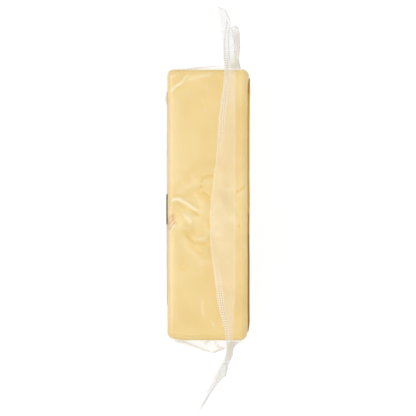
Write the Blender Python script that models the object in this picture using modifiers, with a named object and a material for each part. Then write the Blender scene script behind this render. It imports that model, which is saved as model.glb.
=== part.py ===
"""A block of gruyere sealed in clear flow-wrap film, with a label on each wide face.

The pack lies on its plain narrow side. X runs across the two labelled faces, Y along the block,
and +Z is up, out of the narrow side that carries the long seal. The origin is the middle of the
face that the pack rests on. All lengths are in metres and angles in degrees, as named.
"""

import math

import bmesh
import bpy
from mathutils import Vector, noise
from mathutils.geometry import intersect_point_line

# The block of cheese in its clinging film. One corner pair is rounder than the other.
WIDTH = 0.0328
LENGTH = 0.108
DEPTH = 0.060
LEFT_RADIUS = 0.0021
RIGHT_RADIUS = 0.0036

# Space between neighbouring solids, and the thickness that thin film and paper are drawn at.
GAP = 0.0003
FILM = 0.0004
PAPER = 0.0002

# The labels on the two wide faces.
FRONT_Y = (-0.0495, 0.0500)
FRONT_Z = (0.0040, DEPTH - 0.0016)
BACK_Y = (-0.0400, 0.0460)
BACK_Z = (0.0060, DEPTH - 0.0016)

# The sealed film that stands off the block: a flap on the long seal and a fin at each end.
SEAM_X = 0.0107
SEAM_Z = DEPTH + 0.0006
FLAP_WIDTH = 0.0071
FLAP_BOW = 0.0031
FLAP_BOW_Y = -0.008
FLAP_BOW_REACH = 0.037
FLAP_LIE_ANGLE = 3.0
CORNER_WIDTH = 0.0100
FIN_FOOT = 0.0010
FIN_GRID = 0.0250

# How the film gathers over an end of the block: it rises to a low ridge beside the fin.
TENT_LOW_SHARE = 0.2

# The uneven surface of the cheese, as the film shows it.
SWELL = 0.00012
SWELL_SIZE = 0.014
SWELL_FADE = 0.010

# How finely each piece is sliced.
CHEESE_STEPS = (0.0028, 0.0036, 0.018)
CREASE_STEP_X = 0.0014
CREASE_STEP_Y = 0.0013
ROUNDING_SHARES = (1.0, 0.6, 0.3)
GATHER_STEP_X = 0.0042
GATHER_STEP_Z = 0.0075
FLAP_STEP = 0.0045
FIN_STEP = 0.0025
DEEP_STEP = 0.0032
LABEL_STEP = 0.020
LABEL_SHARES = (1.0, 0.8, 0.6)

# A thin sheet starts as a box this thick, and points closer than this count as one place.
SHEET_BOX = 0.0005
CLOSE = 1e-6
SHARP_ANGLE = 40.0


class Pleat:
    """A fold line of a fin: its height, and its path as (X, distance out from the block)."""

    def __init__(self, up, *path):
        self.up = up
        self.path = path

    def x_at(self, reach):
        for (x, near), (next_x, far) in zip(self.path, self.path[1:]):
            if reach <= far:
                break
        return mix(x, next_x, (reach - near) / (far - near))


class End:
    """The film at one end of the block."""

    def __init__(self, name, way, seam_shift, rise_from, rise_angle, ridge_x, ridge, pleats):
        self.name = name
        self.way = way  # +1 at the +Y end, -1 at the -Y end
        self.seam_shift = seam_shift  # how far the long seal drifts sideways towards this end
        self.rise_from = rise_from  # where along the block the flap starts to stand up
        self.rise_angle = rise_angle  # how steeply it stands at the end of the block
        self.ridge_x = ridge_x  # where the gathered film stands furthest off the block
        self.ridge = ridge
        self.pleats = pleats


ENDS = (
    End(
        name="top",
        way=1,
        seam_shift=0.0,
        rise_from=0.022,
        rise_angle=52,
        ridge_x=0.0066,
        ridge=0.0022,
        pleats=(
            Pleat(0.0010, (0.0111, 0), (0.0115, 0.008), (0.0119, 0.0168)),
            Pleat(0.0140, (0.0121, 0), (0.0113, 0.008), (0.0104, 0.0176)),
            Pleat(0.0270, (0.0102, 0), (0.0114, 0.008), (0.0120, 0.0162)),
            Pleat(0.0390, (0.0128, 0), (0.0126, 0.006), (0.0132, 0.014), (0.0122, 0.0174)),
            Pleat(0.0500, (0.0103, 0), (0.0103, 0.008), (0.0110, 0.0105), (0.0090, 0.0190)),
            Pleat(0.0600, (0.0106, 0), (0.0091, 0.008), (0.0087, 0.0150), (0.0083, 0.0200)),
            Pleat(0.0662, (0.0084, 0), (0.0081, 0.009), (0.0084, 0.0170), (0.0079, 0.0213)),
            Pleat(0.0706, (0.0063, 0), (0.0059, 0.005), (0.0052, 0.0130), (0.0031, 0.0252)),
        ),
    ),
    End(
        name="bottom",
        way=-1,
        seam_shift=-0.0010,
        rise_from=0.030,
        rise_angle=67,
        ridge_x=0.0019,
        ridge=0.0059,
        pleats=(
            Pleat(0.0010, (0.0104, 0), (0.0096, 0.006), (0.0066, 0.012), (0.0016, 0.0200)),
            Pleat(0.0140, (0.0122, 0), (0.0106, 0.006), (0.0082, 0.012), (0.0034, 0.0205)),
            Pleat(0.0280, (0.0092, 0), (0.0094, 0.005), (0.0052, 0.012), (0.0004, 0.0210)),
            Pleat(0.0420, (0.0116, 0), (0.0100, 0.006), (0.0069, 0.012), (-0.0010, 0.0225)),
            Pleat(0.0540, (0.0098, 0), (0.0106, 0.005), (0.0080, 0.011), (-0.0008, 0.0240)),
            Pleat(0.0640, (0.0094, 0), (0.0102, 0.006), (0.0040, 0.0172), (-0.0021, 0.0270)),
            Pleat(0.0706, (0.0067, 0), (0.0069, 0.004), (0.0023, 0.0168), (-0.0037, 0.0274)),
        ),
    ),
)


class Crease:
    """A fold or a crack across the shown side: its points, half width and height."""

    def __init__(self, points, half_width, height):
        self.points = [Vector((x, y, 0)) for x, y in points]
        self.half_width = half_width
        self.height = height

    def relief(self, place):
        nearest = min(
            distance_to_segment(place, start, end)
            for start, end in zip(self.points, self.points[1:])
        )
        return self.height * math.exp(-((nearest / self.half_width) ** 2))


CREASES = (
    # the fold that springs from the left edge, and the hollow under it
    Crease(((-0.0150, 0.0008), (-0.0128, 0.0022), (-0.0100, 0.0010), (-0.0044, -0.0026)), 0.0012, 0.00045),
    Crease(((-0.0122, -0.0004), (-0.0088, -0.0022), (-0.0016, -0.0046)), 0.0015, -0.00050),
    # the pucker at the left edge
    Crease(((-0.0150, -0.0050), (-0.0128, -0.0064), (-0.0150, -0.0112)), 0.0011, 0.00040),
    # the curved step below the fold
    Crease(((-0.0078, -0.0100), (-0.0060, -0.0132), (-0.0020, -0.0150), (0.0016, -0.0154)), 0.0010, -0.00040),
    Crease(((-0.0090, -0.0042), (-0.0070, -0.0066), (-0.0062, -0.0084)), 0.0011, 0.00030),
    # the split above the fold
    Crease(((0.0030, 0.0117), (-0.0014, 0.0116), (-0.0034, 0.0086)), 0.0009, -0.00035),
    Crease(((-0.0022, 0.0050), (0.0012, 0.0024)), 0.0010, -0.00030),
    # the fold across the upper left corner, with its branch
    Crease(((-0.0152, 0.0456), (-0.0100, 0.0490), (-0.0050, 0.0508), (0.0020, 0.0520)), 0.0010, 0.00035),
    Crease(((-0.0100, 0.0492), (-0.0090, 0.0512), (-0.0074, 0.0524)), 0.0008, 0.00025),
)
CREASED_FROM = -0.018
CREASED_TO = 0.014


def distance_to_segment(place, start, end):
    foot, share = intersect_point_line(place, start, end)
    if share < 0:
        foot = start
    elif share > 1:
        foot = end
    return (place - foot).length


def smooth(value):
    """0 to 1 with level ends, for a value that is cut to that range first."""
    value = min(max(value, 0.0), 1.0)
    return value * value * (3 - 2 * value)


def mix(first, second, share):
    return first + (second - first) * share


def evenly(start, stop, step):
    """Places between start and stop, no further apart than step, without the two ends."""
    count = math.ceil((stop - start) / step)
    return [mix(start, stop, i / count) for i in range(1, count)]


# The block's own rounded form


def edge_radius(x):
    return mix(LEFT_RADIUS, RIGHT_RADIUS, smooth(x / WIDTH + 0.5))


def on_block(corner, offset=0.0):
    """Moves a point of the sharp-edged box to the rounded block, or to a skin that far outside it."""
    radius = edge_radius(corner.x)
    middle = Vector((0, 0, DEPTH / 2))
    reach = Vector((WIDTH / 2 - radius, LENGTH / 2 - radius, DEPTH / 2 - radius))
    place = corner - middle
    core = Vector(min(max(place[i], -reach[i]), reach[i]) for i in range(3))
    outward = place - core
    return middle + core + outward.normalized() * (radius + offset)


def relief(x, y):
    """Height of the shown side over its plain form."""
    place = Vector((x, y, 0))
    return sum(crease.relief(place) for crease in CREASES)


def swell(place):
    """The slow unevenness of a cut face, which dies out towards the face that the pack rests on."""
    return SWELL * noise.noise(place / SWELL_SIZE) * smooth(place.z / SWELL_FADE)


# Shared modelling steps


def slice_across(bm, axis, places, faces=None):
    """Cuts the mesh, or only the given faces, by a plane across the axis at each place."""
    normal = Vector([1.0 if i == axis else 0.0 for i in range(3)])
    for place in places:
        chosen = bm.faces[:] if faces is None else [f for f in bm.faces if faces(f)]
        edges = {edge for face in chosen for edge in face.edges}
        corners = {vertex for face in chosen for vertex in face.verts}
        bmesh.ops.bisect_plane(
            bm,
            geom=list(corners) + list(edges) + chosen,
            dist=CLOSE,
            plane_co=normal * place,
            plane_no=normal,
        )


def new_box(low, high):
    """A mesh box between two corners."""
    bm = bmesh.new()
    bmesh.ops.create_cube(bm, size=1.0)
    size = Vector(high) - Vector(low)
    bmesh.ops.scale(bm, vec=size, verts=bm.verts)
    bmesh.ops.translate(bm, vec=(Vector(low) + Vector(high)) / 2, verts=bm.verts)
    return bm


def finish(bm, name, material, collection):
    """Makes the mesh an object of the collection, with smooth shading between sharp edges."""
    mesh = bpy.data.meshes.new(name)
    bmesh.ops.recalc_face_normals(bm, faces=bm.faces)
    bm.to_mesh(mesh)
    bm.free()
    obj = bpy.data.objects.new(name, mesh)
    collection.objects.link(obj)
    if material is not None:
        mesh.materials.append(material)
    mesh.shade_smooth()
    mesh.set_sharp_from_angle(angle=math.radians(SHARP_ANGLE))
    return obj


def new_material(name, colour, roughness, alpha=1.0):
    material = bpy.data.materials.new(name)
    material.use_nodes = True
    shader = material.node_tree.nodes["Principled BSDF"]
    shader.inputs["Base Color"].default_value = (*colour, 1.0)
    shader.inputs["Roughness"].default_value = roughness
    shader.inputs["Metallic"].default_value = 0.0
    shader.inputs["Alpha"].default_value = alpha
    return material


# The cheese


def rounding_cuts(low, high):
    """Where to slice near both ends of a range so that its rounded edges come out round."""
    insets = [RIGHT_RADIUS * share for share in ROUNDING_SHARES]
    return [low + inset for inset in insets] + [high - inset for inset in insets]


def make_cheese(collection):
    """The block: a box sliced into a grid, rounded, then given the relief of its shown side."""
    low = Vector((-WIDTH / 2, -LENGTH / 2, 0))
    high = Vector((WIDTH / 2, LENGTH / 2, DEPTH))
    bm = new_box(low, high)
    for axis, step in enumerate(CHEESE_STEPS):
        inside = evenly(low[axis] + RIGHT_RADIUS, high[axis] - RIGHT_RADIUS, step)
        slice_across(bm, axis, inside + rounding_cuts(low[axis], high[axis]))

    def is_creased(face):
        centre = face.calc_center_median()
        return centre.z > DEPTH - CLOSE and CREASED_FROM < centre.y < CREASED_TO

    slice_across(bm, 1, evenly(CREASED_FROM, CREASED_TO, CREASE_STEP_Y), is_creased)
    slice_across(bm, 0, evenly(low.x, high.x, CREASE_STEP_X), is_creased)

    for vertex in bm.verts:
        on_top = vertex.co.z > DEPTH - CLOSE
        sharp = vertex.co.copy()
        rise = relief(sharp.x, sharp.y) if on_top else 0.0
        vertex.co = on_block(sharp, swell(sharp) + rise)
    colour = new_material("gruyere", (0.90, 0.68, 0.33), 0.45)
    return finish(bm, "cheese", colour, collection)


# The film


def seam_x(along):
    """Sideways place of the long seal, which drifts near one end."""
    end = ENDS[0] if along > 0 else ENDS[1]
    return SEAM_X + end.seam_shift * smooth((abs(along) - end.rise_from) / (LENGTH / 2 - end.rise_from))


def flap_width(along):
    """The flap is trimmed in a bow, widest near the middle of the block."""
    share = min(abs(along - FLAP_BOW_Y) / FLAP_BOW_REACH, 1.0)
    return FLAP_WIDTH + FLAP_BOW * math.cos(share * math.pi / 2) ** 2


def flap_point(along, up):
    """The flap folds over at the seam and lies on the block, and stands up towards its ends."""
    end = ENDS[0] if along > 0 else ENDS[1]
    share = smooth((abs(along) - end.rise_from) / (LENGTH / 2 - end.rise_from))
    angle = math.radians(mix(FLAP_LIE_ANGLE, end.rise_angle, share))
    out = (up - SEAM_Z) / CORNER_WIDTH * flap_width(along)
    return Vector((seam_x(along) - out * math.cos(angle), along, SEAM_Z + out * math.sin(angle)))


def fin_point(end, share, up):
    """A point of the fin: share runs from the block, at 0, to the free edge, at 1."""
    for below, above in zip(end.pleats, end.pleats[1:]):
        if up <= above.up:
            break
    blend = smooth((up - below.up) / (above.up - below.up))
    reach = share * mix(below.path[-1][1], above.path[-1][1], blend)
    x = mix(below.x_at(reach), above.x_at(reach), blend)
    start = Vector((mix(below.path[0][0], above.path[0][0], blend), end.way * LENGTH / 2, up))
    if up > SEAM_Z:
        foot = flap_point(start.y, up)
    else:
        foot = on_block(start, GAP + FILM / 2)
    drift = (foot - start) * (1 - share)
    return Vector((x, start.y + end.way * reach, foot.z)) + Vector((drift.x, drift.y, 0))


def film_point(along, up):
    """Where a point of the flat, uncreased sheet ends up on the pack."""
    beyond = abs(along) - LENGTH / 2
    if beyond < -CLOSE or (beyond < CLOSE and up > SEAM_Z - CLOSE):
        return flap_point(along, up)
    end = ENDS[0] if along > 0 else ENDS[1]
    return fin_point(end, max(beyond, 0.0) / FIN_GRID, up)


def tent_height(end, x, z):
    """How far the gathered film stands off the end of the block."""
    side = -WIDTH / 2 if x < end.ridge_x else WIDTH / 2
    across = max(1 - (x - end.ridge_x) / (side - end.ridge_x), 0.0)
    return end.ridge * across * mix(TENT_LOW_SHARE, 1.0, (z / DEPTH) ** 3)


def make_gather(end, collection):
    """The film gathered over one end of the block, as a thin cap that the fin stands on."""
    face_y = end.way * LENGTH / 2
    inner_y = face_y - end.way * SHEET_BOX
    low = Vector((-WIDTH / 2, min(inner_y, face_y), 0))
    high = Vector((WIDTH / 2, max(inner_y, face_y), DEPTH))
    bm = new_box(low, high)
    for axis, step in ((0, GATHER_STEP_X), (2, GATHER_STEP_Z)):
        inside = evenly(low[axis] + RIGHT_RADIUS, high[axis] - RIGHT_RADIUS, step)
        slice_across(bm, axis, inside + rounding_cuts(low[axis], high[axis]))
    for vertex in bm.verts:
        outer = abs(vertex.co.y - face_y) < CLOSE
        sharp = Vector((vertex.co.x, face_y, vertex.co.z))
        vertex.co = on_block(sharp, GAP + (FILM if outer else 0.0))
        if outer:
            vertex.co.y += end.way * tent_height(end, sharp.x, sharp.z)
    gather = finish(bm, f"{end.name}_gather", None, collection)
    gather.hide_render = True
    gather.display_type = "WIRE"
    return gather


def make_film(collection, helpers):
    """The film where it leaves the block, as one piece: the flap, both fins and both gathers.

    The sealed part is cut as a flat sheet with a gap for the block, and then folded.
    """
    bm = bmesh.new()
    bmesh.ops.create_grid(bm, x_segments=1, y_segments=1, size=0.5)
    length = LENGTH + 2 * FIN_GRID
    height = SEAM_Z + CORNER_WIDTH - FIN_FOOT
    bmesh.ops.scale(bm, vec=(length, height, 1), verts=bm.verts)
    bmesh.ops.translate(bm, vec=(0, FIN_FOOT + height / 2, 0), verts=bm.verts)

    block_end = LENGTH / 2
    slice_across(bm, 0, [-block_end, block_end] + evenly(-block_end, block_end, FLAP_STEP))
    slice_across(bm, 0, evenly(block_end, block_end + FIN_GRID, FIN_STEP))
    slice_across(bm, 0, evenly(-block_end - FIN_GRID, -block_end, FIN_STEP))
    slice_across(bm, 1, [SEAM_Z] + evenly(SEAM_Z, SEAM_Z + CORNER_WIDTH, FIN_STEP))
    slice_across(bm, 1, evenly(FIN_FOOT, SEAM_Z, DEEP_STEP))

    def over_block(face):
        centre = face.calc_center_median()
        return abs(centre.x) < block_end and centre.y < SEAM_Z

    covered = [face for face in bm.faces if over_block(face)]
    bmesh.ops.delete(bm, geom=covered, context="FACES")
    for vertex in bm.verts:
        vertex.co = film_point(vertex.co.x, vertex.co.y)

    clear = new_material("clear_film", (0.93, 0.92, 0.89), 0.15, alpha=0.35)
    film = finish(bm, "film", clear, collection)
    thicken = film.modifiers.new("two plies", "SOLIDIFY")
    thicken.thickness = FILM
    thicken.offset = 0.0
    for end in ENDS:
        join = film.modifiers.new(f"{end.name} gather", "BOOLEAN")
        join.operation = "UNION"
        join.object = make_gather(end, helpers)
    return film


# The labels


def make_label(name, side, y_range, z_range, colour, collection):
    """A paper label on one wide face, whose upper edge turns a little over the rounded edge."""
    face_x = side * WIDTH / 2
    inner_x = face_x - side * SHEET_BOX
    low = Vector((min(face_x, inner_x), y_range[0], z_range[0]))
    high = Vector((max(face_x, inner_x), y_range[1], z_range[1]))
    bm = new_box(low, high)
    slice_across(bm, 2, [DEPTH - RIGHT_RADIUS * share for share in LABEL_SHARES])
    slice_across(bm, 1, evenly(y_range[0], y_range[1], LABEL_STEP))
    for vertex in bm.verts:
        outer = abs(vertex.co.x - face_x) < CLOSE
        sharp = Vector((face_x, vertex.co.y, vertex.co.z))
        vertex.co = on_block(sharp, GAP + (PAPER if outer else 0.0))
    return finish(bm, name, colour, collection)


def clear_scene():
    for obj in list(bpy.data.objects):
        bpy.data.objects.remove(obj, do_unlink=True)


def new_collection(name):
    collection = bpy.data.collections.new(name)
    bpy.context.scene.collection.children.link(collection)
    return collection


def main():
    clear_scene()
    pack = new_collection("gruyere_pack")
    helpers = new_collection("gathers")
    make_cheese(pack)
    make_film(pack, helpers)
    brown = new_material("front_paper", (0.46, 0.25, 0.07), 0.5)
    white = new_material("back_paper", (0.82, 0.80, 0.77), 0.5)
    make_label("front_label", 1, FRONT_Y, FRONT_Z, brown, pack)
    make_label("back_label", -1, BACK_Y, BACK_Z, white, pack)


main()
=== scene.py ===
"""The looks of a block of gruyere sealed in clear film, lying on its plain narrow side.

X runs across the two labelled faces, Y along the block, and +Z is up, out of the shown side.
Lengths are in metres, written as millimetres times mm.
"""

import math

import bpy
import numpy as np
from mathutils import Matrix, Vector, noise


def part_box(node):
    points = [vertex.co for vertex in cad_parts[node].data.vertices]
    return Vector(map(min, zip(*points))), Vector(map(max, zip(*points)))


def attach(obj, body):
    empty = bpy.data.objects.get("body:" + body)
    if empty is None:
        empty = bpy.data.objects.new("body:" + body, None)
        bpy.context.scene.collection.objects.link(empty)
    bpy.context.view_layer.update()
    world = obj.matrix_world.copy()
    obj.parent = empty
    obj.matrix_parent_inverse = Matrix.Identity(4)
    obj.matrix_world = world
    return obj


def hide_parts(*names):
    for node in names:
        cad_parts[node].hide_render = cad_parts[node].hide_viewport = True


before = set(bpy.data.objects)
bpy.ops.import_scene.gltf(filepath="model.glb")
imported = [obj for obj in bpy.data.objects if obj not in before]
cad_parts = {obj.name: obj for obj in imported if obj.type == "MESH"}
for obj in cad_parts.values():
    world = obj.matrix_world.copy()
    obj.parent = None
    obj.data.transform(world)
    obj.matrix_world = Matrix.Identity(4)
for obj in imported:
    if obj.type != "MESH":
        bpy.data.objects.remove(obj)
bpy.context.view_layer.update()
bpy.ops.object.select_all(action="DESELECT")
mm = 0.001


# The studio: a pale floor that glows a little, as a light table does, under soft light that is
# strongest from the left. The camera looks straight down on the shown narrow side.

FLOOR_SIZE = 3.0
FLOOR_DROP = 0.2 * mm
SIGHT_WIDTH = 166.4 * mm
SIGHT_CENTRE = Vector((-0.1 * mm, -1.2 * mm, 0))
LENS = 200  # in millimetres, as Blender has it, and the sensor too
SENSOR = 36
FLOOR_GLOW = 0.92
SKY_STRENGTH = 0.63
LIGHT_AIM = Vector((0, 0, 60 * mm))

camera_data = bpy.data.cameras.new("camera")
camera_data.lens = LENS
camera_data.sensor_width = SENSOR
camera = bpy.data.objects.new("camera", camera_data)
bpy.context.scene.collection.objects.link(camera)
shown_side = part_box("cheese")[1].z
camera.location = SIGHT_CENTRE + Vector((0, 0, shown_side + SIGHT_WIDTH * LENS / SENSOR))
bpy.context.scene.camera = camera
bpy.context.scene.view_settings.view_transform = "Standard"


class Shade:
    """A socket in a material's nodes. Sums on it add Math nodes beside it."""

    def __init__(self, tree, socket=None):
        self.tree = tree
        self.socket = socket

    def node(self, kind, inputs=None, output=0, **settings):
        """Adds a node of the kind: its settings, then the values or links of its sockets."""
        made = self.tree.nodes.new("ShaderNode" + kind)
        for name, value in settings.items():
            setattr(made, name, value)
        for name, value in (inputs or {}).items():
            if isinstance(value, Shade):
                self.tree.links.new(value.socket, made.inputs[name])
            else:
                made.inputs[name].default_value = value
        return Shade(self.tree, made.outputs[output] if made.outputs else None)

    def math(self, operation, *others):
        return self.node("Math", dict(enumerate([self, *others])), operation=operation)

    def __add__(self, other):
        return self.math("ADD", other)

    def __sub__(self, other):
        return self.math("SUBTRACT", other)

    def __rsub__(self, other):
        return self.math("MULTIPLY_ADD", -1.0, other)

    def __mul__(self, other):
        return self.math("MULTIPLY", other)

    def __pow__(self, other):
        return self.math("POWER", other)

    __radd__ = __add__
    __rmul__ = __mul__

    def clamp(self):
        """This value, kept between 0 and 1."""
        return self.node("Clamp", {"Value": self})

    def step(self, start, stop):
        """0 below start, 1 above stop, and eased between them."""
        sizes = {"Value": self, "From Min": start, "From Max": stop}
        return self.node("MapRange", sizes, interpolation_type="SMOOTHSTEP")

    def mix(self, first, second):
        """The first colour where this value is 0, and the second where it is 1."""
        return self.node("Mix", {0: self, 6: first, 7: second}, output=2, data_type="RGBA")


def new_material(name, piece):
    """An empty material on the piece, as a starting point for its nodes."""
    material = bpy.data.materials.new(name)
    material.use_nodes = True
    material.node_tree.nodes.clear()
    piece.data.materials.clear()
    piece.data.materials.append(material)
    return Shade(material.node_tree)


def attribute(start, name):
    """A number that the piece's own mesh carries."""
    return start.node("Attribute", output=2, attribute_name=name)


def speckle(start, scale, detail, stretch=(1, 1, 1)):
    """Soft random unevenness, around 0.5, in the piece's own space. The scale is per metre."""
    place = start.node("TexCoord", output=3)
    place = start.node("Mapping", {"Vector": place, "Scale": stretch})
    return start.node("TexNoise", {"Vector": place, "Scale": scale, "Detail": detail})


bpy.ops.mesh.primitive_plane_add(size=FLOOR_SIZE, location=(0, 0, -FLOOR_DROP))
floor = bpy.context.object
floor.name = "floor"
start = new_material("pale_floor", floor)
finish = start.node("BsdfPrincipled", {
    "Base Color": (0.12, 0.12, 0.12, 1),
    "Roughness": 0.9,
    "Specular IOR Level": 0.0,
    "Emission Color": (1, 1, 1, 1),
    "Emission Strength": FLOOR_GLOW,
})
start.node("OutputMaterial", {"Surface": finish})

world = bpy.data.worlds.new("soft_light")
bpy.context.scene.world = world
world.use_nodes = True
sky = world.node_tree.nodes["Background"]
sky.inputs["Color"].default_value = (1.0, 0.99, 0.975, 1)
sky.inputs["Strength"].default_value = SKY_STRENGTH


def add_softbox(name, place, size, power):
    """A rectangle of soft light, turned towards the block. Its place and size are in metres."""
    light = bpy.data.lights.new(name, "AREA")
    light.shape = "RECTANGLE"
    light.size, light.size_y = size
    light.energy = power
    box = bpy.data.objects.new(name, light)
    bpy.context.scene.collection.objects.link(box)
    box.location = place
    box.rotation_euler = (LIGHT_AIM - Vector(place)).to_track_quat("-Z", "Y").to_euler()


add_softbox("left_softbox", (-0.42, 0.00, 0.80), (0.40, 1.0), 3.3)
add_softbox("far_softbox", (-0.10, 0.90, 0.75), (0.9, 0.4), 1.6)
add_softbox("near_softbox", (-0.10, -0.90, 0.75), (0.9, 0.4), 1.7)
add_softbox("right_softbox", (0.80, 0.00, 0.40), (0.6, 1.2), 1.2)


# The cheese: a dense, rindless block with two sharp edges on its left and two rounder ones on
# its right. Its shown side is uneven where the vacuum has pulled it, with splits and folds.

BLOCK_GRAIN = 0.9 * mm
SHOWN_CUTS = 2
FILM_ROOM = 0.05 * mm
LEFT_RADIUS = 2.4 * mm
RIGHT_RADIUS = 2.8 * mm
TAPER_REACH = 8 * mm
RIGHT_TAPER = 1.0 * mm
LEFT_TAPER = 0.9 * mm
half_block = Vector((16.4 * mm, 54.4 * mm, 30 * mm))
block_middle = Vector((0, 0, half_block.z))
# how far a point has to face up to take part in the relief of the shown side
UP_FROM = 0.5
UP_FULL = 0.9
# slow unevenness of the other sides, and how high over the table it is full
SWELL = 0.12 * mm
SWELL_SIZE = 13 * mm
SWELL_RISE = 10 * mm
# broad and fine unevenness of the shown side, the fine one where the vacuum has crumpled it
BROAD_RELIEF = 0.10 * mm
BROAD_SIZE = 9 * mm
FINE_RELIEF = 0.16 * mm
FINE_SIZE = 4 * mm
CRUMPLED_Y = -3 * mm
CRUMPLED_REACH = 16 * mm
# the middle of the shown side, where paler streaks run through the cheese
STREAKED_Y = -4 * mm
STREAKED_REACH = 19 * mm
# the fold height and the hollow depth at which the painted highlight and the painted shade are full, and a
# fold's print in the cheese
FOLD_HIGHLIGHT_HEIGHT = 0.12 * mm
HOLLOW_SHADE_DEPTH = 0.6 * mm
FOLD_PRINT = 0.3
PASTE = (0.722, 0.528, 0.188, 1)
PALE_PASTE = (0.748, 0.564, 0.222, 1)
CLOUDED_PASTE = (0.768, 0.600, 0.266, 1)
STREAKED_PASTE = (0.800, 0.645, 0.325, 1)
# painted shade in splits and hollows
SHADED_SPLIT_PASTE = (0.765, 0.530, 0.150, 1)
# painted highlight on folds, ridges and left-edge strips, and the paler cheese of the patches between the
# ridges
HIGHLIGHT_AND_PALE_PASTE = (0.88, 0.785, 0.55, 1)
BROWNED_PASTE = (0.590, 0.290, 0.070, 1)


def smooth(value):
    """0 below 0, 1 above 1, and eased between them."""
    value = np.clip(value, 0.0, 1.0)
    return value * value * (3 - 2 * value)


def bell(value, middle, reach):
    """1 at the middle, down to nothing well beyond the reach."""
    return np.exp(-(((value - middle) / reach) ** 2))


def read_points(piece):
    points = np.empty(len(piece.data.vertices) * 3)
    piece.data.vertices.foreach_get("co", points)
    return points.reshape(-1, 3)


def write_points(piece, points):
    piece.data.vertices.foreach_set("co", points.ravel())
    piece.data.update()


def write_values(piece, name, values):
    """Keeps one number for each vertex in the mesh, for the material to read."""
    layer = piece.data.attributes.new(name, "FLOAT", "POINT")
    layer.data.foreach_set("value", values)


def select_points(piece, chosen):
    """Opens the piece for editing with only the chosen vertices selected."""
    bpy.ops.object.mode_set(mode="EDIT")
    bpy.ops.mesh.select_all(action="DESELECT")
    bpy.ops.object.mode_set(mode="OBJECT")
    piece.data.vertices.foreach_set("select", chosen)
    bpy.ops.object.mode_set(mode="EDIT")


def on_shown_side(points):
    """Which points of a sharp box lie on its shown side."""
    return points[:, 2] > 2 * half_block.z - BLOCK_GRAIN / 2


def on_block(points, offset):
    """Moves points of a sharp box to the rounded block, or to a skin that far outside it.

    Also gives the direction that each point faces.
    """
    middle, half = np.array(block_middle), np.array(half_block)
    radius = LEFT_RADIUS + (RIGHT_RADIUS - LEFT_RADIUS) * smooth(points[:, :1] / half[0] / 2 + 0.5)
    core = np.clip(points - middle, radius - half, half - radius)
    outward = points - middle - core
    outward /= np.maximum(np.linalg.norm(outward, axis=1, keepdims=True), 1e-9)
    placed = middle + core + outward * (radius + offset)
    near_end = smooth(1 - (placed[:, 1] + half[1]) / TAPER_REACH)
    right = smooth(placed[:, 0] / half[0]) * near_end
    left = smooth((-placed[:, 0] - half[0] + TAPER_REACH) / TAPER_REACH) * near_end
    placed[:, 0] -= RIGHT_TAPER * right
    placed[:, 1] += LEFT_TAPER * left
    return placed, outward


def soft_noise(points, size, seed=0.0):
    """Slow random waves between about -1 and 1, of the given size."""
    shift = Vector((seed, 2 * seed, 3 * seed))
    return np.array([noise.noise(Vector(point) / size + shift) for point in points])


def facing_up(facing):
    """1 on the shown side, down to 0 round its edges."""
    return smooth((facing[:, 2] - UP_FROM) / (UP_FULL - UP_FROM))


def swells(points):
    """The slow unevenness of the plain sides, which dies away towards the table."""
    return SWELL * soft_noise(points, SWELL_SIZE, 2) * smooth(points[:, 2] / SWELL_RISE)


class Crease:
    """A fold, pleat, split or patch on the shown side, in millimetres.

    The ends are the share of its length over which it dies away at each end. One without a height
    only leaves its mark in the colour.
    """

    def __init__(self, *points, width, height=0.0, ends=0.25):
        self.points = np.array(points) * mm
        self.width = width * mm
        self.height = height * mm
        self.ends = ends

    def mark(self, x, y):
        """1 on the line of the crease, down to 0 away from it."""
        nearest = np.full_like(x, 1.0)
        travel = np.zeros_like(x)
        steps = np.diff(self.points, axis=0)
        lengths = np.hypot(steps[:, 0], steps[:, 1])
        done = 0.0
        for (x0, y0), (dx, dy), length in zip(self.points, steps, lengths):
            share = np.clip(((x - x0) * dx + (y - y0) * dy) / length**2, 0, 1)
            far = np.hypot(x - x0 - share * dx, y - y0 - share * dy)
            travel = np.where(far < nearest, done + share * length, travel)
            nearest = np.minimum(nearest, far)
            done += length
        along = travel / done
        fade = smooth(along / self.ends) * smooth((1 - along) / self.ends)
        return bell(nearest, 0, self.width) * fade


class Dent:
    """A round hollow, or a low mound where its height is above 0, in millimetres."""

    def __init__(self, x, y, width, height):
        self.x = x * mm
        self.y = y * mm
        self.width = width * mm
        self.height = height * mm

    def mark(self, x, y):
        """1 in the middle of the dent, down to 0 away from it."""
        return bell(np.hypot(x - self.x, y - self.y), 0, self.width)


# ridges of film and cheese that catch the light, and put a weaker painted highlight into the cheese's
# colour
RIDGES = (
    Crease((-14.9, 0.8), (-13.2, 2.2), (-11.4, 2.3), (-9.6, 1.2), (-7.4, -0.6), (-4.2, -2.6),
           width=1.2, height=0.45),
    Crease((-10.0, -2.8), (-8.6, -4.6), (-7.0, -6.4), (-6.4, -8.4), width=0.9, height=0.28),
    Crease((-15.8, -11.4), (-14.4, -8.6), (-12.6, -6.4), width=0.75, height=0.20),
    Crease((-6.6, -12.8), (-4.4, -14.0), (-1.6, -13.4), (0.8, -12.0), width=1.1, height=0.22),
)
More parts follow.
